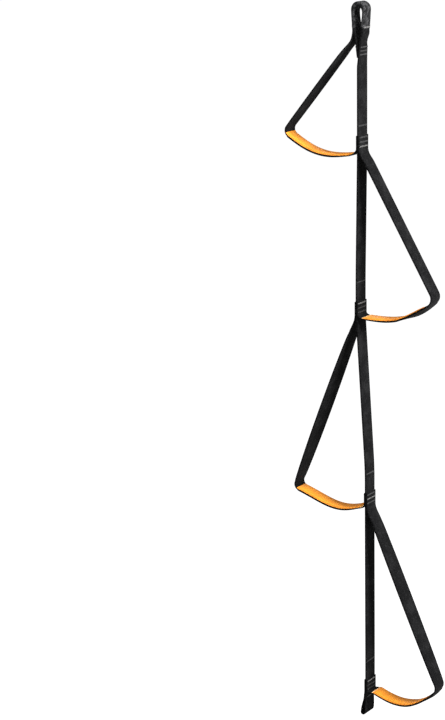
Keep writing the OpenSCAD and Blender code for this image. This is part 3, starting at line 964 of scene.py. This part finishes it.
spun = Finish("grey_thread")
ply = plies(spun)
soiled = spun.noise(420.0).between(0.4, 0.66)
grey_dye = spun.blend_colour(ply * 0.45 + 0.55 * (1 - soiled),
                             (0.02, 0.0195, 0.019, 1), (0.1, 0.098, 0.095, 1))
bar_thread = spun.wear_on(grey_dye, 0.5 + 0.2 * soiled, ply, 0.1 * mm,
                          Specular_IOR_Level=0.4, Sheen_Weight=0.1)
black = Finish("black_thread")
black_ply = plies(black)
faded = black.noise(170.0).between(0.4, 0.66)
black_dye = black.blend_colour(black_ply * 0.4 + 0.6 * faded,
                               (0.003, 0.003, 0.003, 1), (0.026, 0.026, 0.027, 1))
black_thread = black.wear_on(black_dye, 0.5 + 0.2 * faded, black_ply, 0.1 * mm,
                             Specular_IOR_Level=0.3, Sheen_Weight=0.05)
matched = Finish("orange_thread")
sunned = matched.noise(60.0).between(0.35, 0.65)
glint = matched.noise(900.0).between(0.4, 0.6)
orange_dye = matched.blend_colour(sunned, (0.5, 0.16, 0.012, 1), (0.8, 0.33, 0.05, 1))
orange_thread = matched.wear_on(orange_dye, 0.4 + 0.2 * glint, glint, 0.05 * mm, Specular_IOR_Level=0.4)
for piece in stitching.values():
    dress(piece, orange_thread)
GREY_BARS = {"block 1": 7 * mm, "block 2": 22 * mm, "block 3": 14.5 * mm, "block 4": 22 * mm, "sleeve": 0}
for name, piece in tacks.items():
    dress(piece, black_thread)
    piece.data.materials.append(bar_thread)
    if name in GREY_BARS:
        height = SLEEVE_IN if name == "sleeve" else fold[int(name[-1])].z + GREY_BARS[name]
        for face in piece.data.polygons:
            face.material_index = int(abs(face.center.z - height) < 2 * mm)
strip = Finish("smoky_strip")
cloudy = strip.noise(90.0).between(0.35, 0.65)
scuffed = strip.noise(1100.0, 3, 0.7).between(0.55, 0.7)
strip_dye = strip.blend_colour(cloudy, (0.03, 0.03, 0.032, 1), (0.09, 0.088, 0.085, 1))
smoky = strip.wear_on(strip_dye, 0.3 + 0.3 * scuffed, scuffed, 0.05 * mm,
                      Specular_IOR_Level=0.5, Transmission_Weight=0.25)
for i in STEPS:
    dress(frame["nodes"][f"tread_stiffener_{i}"], smoky)
print("thread and strip ready")

# %% [markdown]
# The camera stands far off with a long lens, to the right of the ladder's plane and a little above it. The
# ladder hangs at the right of the frame, so the view is shifted and the camera still looks level on it.

# %% Camera
AIM = Vector((7.6 * mm, 0, -590.8 * mm))
AZIMUTH, ELEVATION, DISTANCE = math.radians(32), math.radians(15.2), 3.36
LENS, SHIFT = 100, -0.197917
level = math.cos(ELEVATION)
away = Vector((math.sin(AZIMUTH) * level, -math.cos(AZIMUTH) * level, math.sin(ELEVATION)))
bpy.ops.object.camera_add(location=AIM + away * DISTANCE, rotation=away.to_track_quat("Z", "Y").to_euler())
camera = bpy.context.object
camera.data.lens, camera.data.sensor_width = LENS, 36
camera.data.shift_x = SHIFT
bpy.context.scene.camera = camera
print("camera at", [round(v, 3) for v in camera.location])

# %% [markdown]
# The ladder hangs in a white studio, with the floor half a metre below it. The floor glows a little, as lit
# paper does, so that it stays white up to the horizon. The main light is a soft panel on the right, above the
# ladder's middle. It rakes across the weave, lights the faces that look right and leaves the others near
# black.

# %% Floor, world and lights
bpy.ops.object.select_all(action="DESELECT")
FLOOR_SIZE, FLOOR_DROP, GLOW, SKY = 600, 0.5, 1.0, 0.12
bpy.ops.mesh.primitive_plane_add(size=FLOOR_SIZE, location=(0, 0, frame_box[0][2] - FLOOR_DROP))
floor = bpy.context.object
floor.name = "studio_floor"
floor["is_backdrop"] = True
paper = Finish("studio_paper")
grain = paper.noise(3.0).between(0.3, 0.7)
paper_grey = paper.blend_colour(grain, (0.16, 0.16, 0.16, 1), (0.18, 0.18, 0.18, 1))
dress(floor, paper.wear_on(paper_grey, 0.9 + 0.05 * grain, grain, 0.1 * mm,
                           Emission_Color=(1, 1, 1, 1), Emission_Strength=GLOW))
world = bpy.data.worlds.new("studio")
bpy.context.scene.world = world
world.use_nodes = True
world.node_tree.nodes["Background"].inputs["Color"].default_value = (1, 1, 1, 1)
world.node_tree.nodes["Background"].inputs["Strength"].default_value = SKY


def panel(name, location, towards, size, watts):
    bpy.ops.object.light_add(type="AREA", location=location)
    light = bpy.context.object
    light.name, light.data.energy, light.data.size = name, watts, size
    light.rotation_euler = (Vector(location) - Vector(towards)).to_track_quat("Z", "Y").to_euler()
    return light


middle = Vector((0, 0, (frame_box[0][2] + frame_box[1][2]) / 2))
panel("right_panel", (2.5, -0.35, middle.z + 1.25), middle, 0.8, 270)
panel("top_panel", (0.3, -1.2, middle.z + 2.6), middle, 1.4, 80)
bpy.context.scene.view_settings.view_transform = "Standard"

# %% [markdown]
# Last, the size of the dressed model is compared with the frame's. Cloth may stand a little proud of its
# solid, but the ladder itself keeps its size.

# %% Sizes and finish
dressed_box = [list(corner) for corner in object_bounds()]
for dressed, bare in zip(dressed_box, frame_box):
    print("proud by", [round((a - b) / mm, 1) for a, b in zip(dressed, bare)], "mm")
